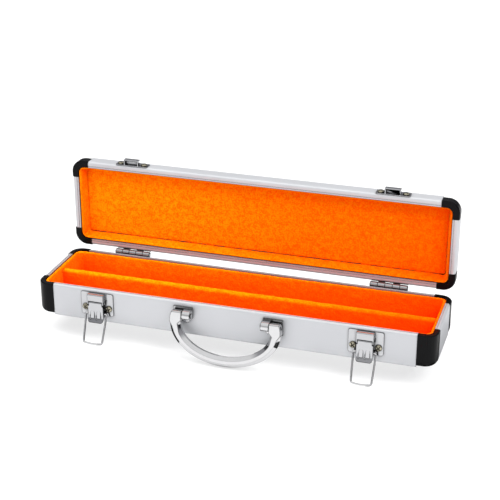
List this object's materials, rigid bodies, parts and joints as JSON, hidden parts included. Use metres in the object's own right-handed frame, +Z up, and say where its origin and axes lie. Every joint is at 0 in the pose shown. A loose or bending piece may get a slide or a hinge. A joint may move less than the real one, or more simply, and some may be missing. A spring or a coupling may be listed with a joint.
{
  "type": "flute case",
  "caption": "Long shallow instrument case: aluminium trays with moulded corners, plush lining with a divider, hinged lid, draw latches and a swinging handle.",
  "frame": {"origin": "middle of the flat face that the base stands on", "axes": "+X along the case, -Y the front with handle and latches, +Z up from the resting face"},
  "size_m": [0.4212, 0.135, 0.1644],
  "materials": {
    "aluminium_profile": "satin anodised",
    "aluminium_panel": "satin anodised",
    "corner_plastic": "moulded, semi-gloss",
    "plush": "short pile plush",
    "liner_board": "raw board",
    "nickel": "nickel plated pressed steel",
    "chrome": "polished chrome plate",
    "fasteners": "nickel plated"
  },
  "bodies": {
    "base": {"base_bottom_panel": "aluminium_panel", "base_corner_front_left": "corner_plastic", "base_corner_front_right": "corner_plastic", "base_corner_rear_left": "corner_plastic", "base_corner_rear_right": "corner_plastic", "base_end_boards": "liner_board", "base_lining_floor": "plush", "base_lining_front": "plush", "base_lining_left": "plush", "base_lining_rear": "plush", "base_lining_right": "plush", "base_side_boards": "liner_board", "base_wall_front": "aluminium_profile", "base_wall_left": "aluminium_profile", "base_wall_rear": "aluminium_profile", "base_wall_right": "aluminium_profile", "divider_board": "liner_board", "divider_cover": "plush", "handle_mount_left": "chrome", "handle_mount_right": "chrome", "handle_mount_screws": "fasteners", "handle_pins": "chrome", "hinge_base_rivets": "fasteners", "hinge_left_base_leaf": "nickel", "hinge_pins": "nickel", "hinge_right_base_leaf": "nickel", "latch_left_plate": "nickel", "latch_right_plate": "nickel", "latch_screws": "fasteners", "lever_pins": "nickel"},
    "lid": {"hinge_left_lid_leaf": "nickel", "hinge_lid_rivets": "fasteners", "hinge_right_lid_leaf": "nickel", "keeper_left": "nickel", "keeper_right": "nickel", "keeper_screws": "fasteners", "lid_corner_front_left": "corner_plastic", "lid_corner_front_right": "corner_plastic", "lid_corner_rear_left": "corner_plastic", "lid_corner_rear_right": "corner_plastic", "lid_end_boards": "liner_board", "lid_lining_floor": "plush", "lid_lining_front": "plush", "lid_lining_left": "plush", "lid_lining_rear": "plush", "lid_lining_right": "plush", "lid_side_boards": "liner_board", "lid_top_panel": "aluminium_panel", "lid_wall_front": "aluminium_profile", "lid_wall_left": "aluminium_profile", "lid_wall_rear": "aluminium_profile", "lid_wall_right": "aluminium_profile"},
    "handle": {"handle_bow": "chrome"},
    "latch_left_lever": {"latch_left_lever": "nickel"},
    "latch_left_bail": {"latch_left_bail": "nickel"},
    "latch_right_lever": {"latch_right_lever": "nickel"},
    "latch_right_bail": {"latch_right_bail": "nickel"}
  },
  "joints": [
    {"name": "lid_hinge", "type": "hinge", "parent": "base", "child": "lid", "pos_m": [0, 0.05175, 0.0352], "axis": [-1, 0, 0], "range_deg": [-90, 0]},
    {"name": "handle_swing", "type": "hinge", "parent": "base", "child": "handle", "pos_m": [0, -0.05525, 0.0244], "axis": [-1, 0, 0], "range_deg": [-11, 165]},
    {"name": "latch_left_lever_pivot", "type": "hinge", "parent": "base", "child": "latch_left_lever", "pos_m": [-0.1417, -0.05235, 0.022], "axis": [-1, 0, 0], "range_deg": [0, 95]},
    {"name": "latch_left_bail_swing", "type": "hinge", "parent": "latch_left_lever", "child": "latch_left_bail", "pos_m": [-0.1417, -0.05215, 0.0106], "axis": [1, 0, 0], "range_deg": [-155, 25]},
    {"name": "latch_right_lever_pivot", "type": "hinge", "parent": "base", "child": "latch_right_lever", "pos_m": [0.1417, -0.05235, 0.022], "axis": [-1, 0, 0], "range_deg": [0, 95]},
    {"name": "latch_right_bail_swing", "type": "hinge", "parent": "latch_right_lever", "child": "latch_right_bail", "pos_m": [0.1417, -0.05215, 0.0106], "axis": [1, 0, 0], "range_deg": [-155, 25]}
  ]
}
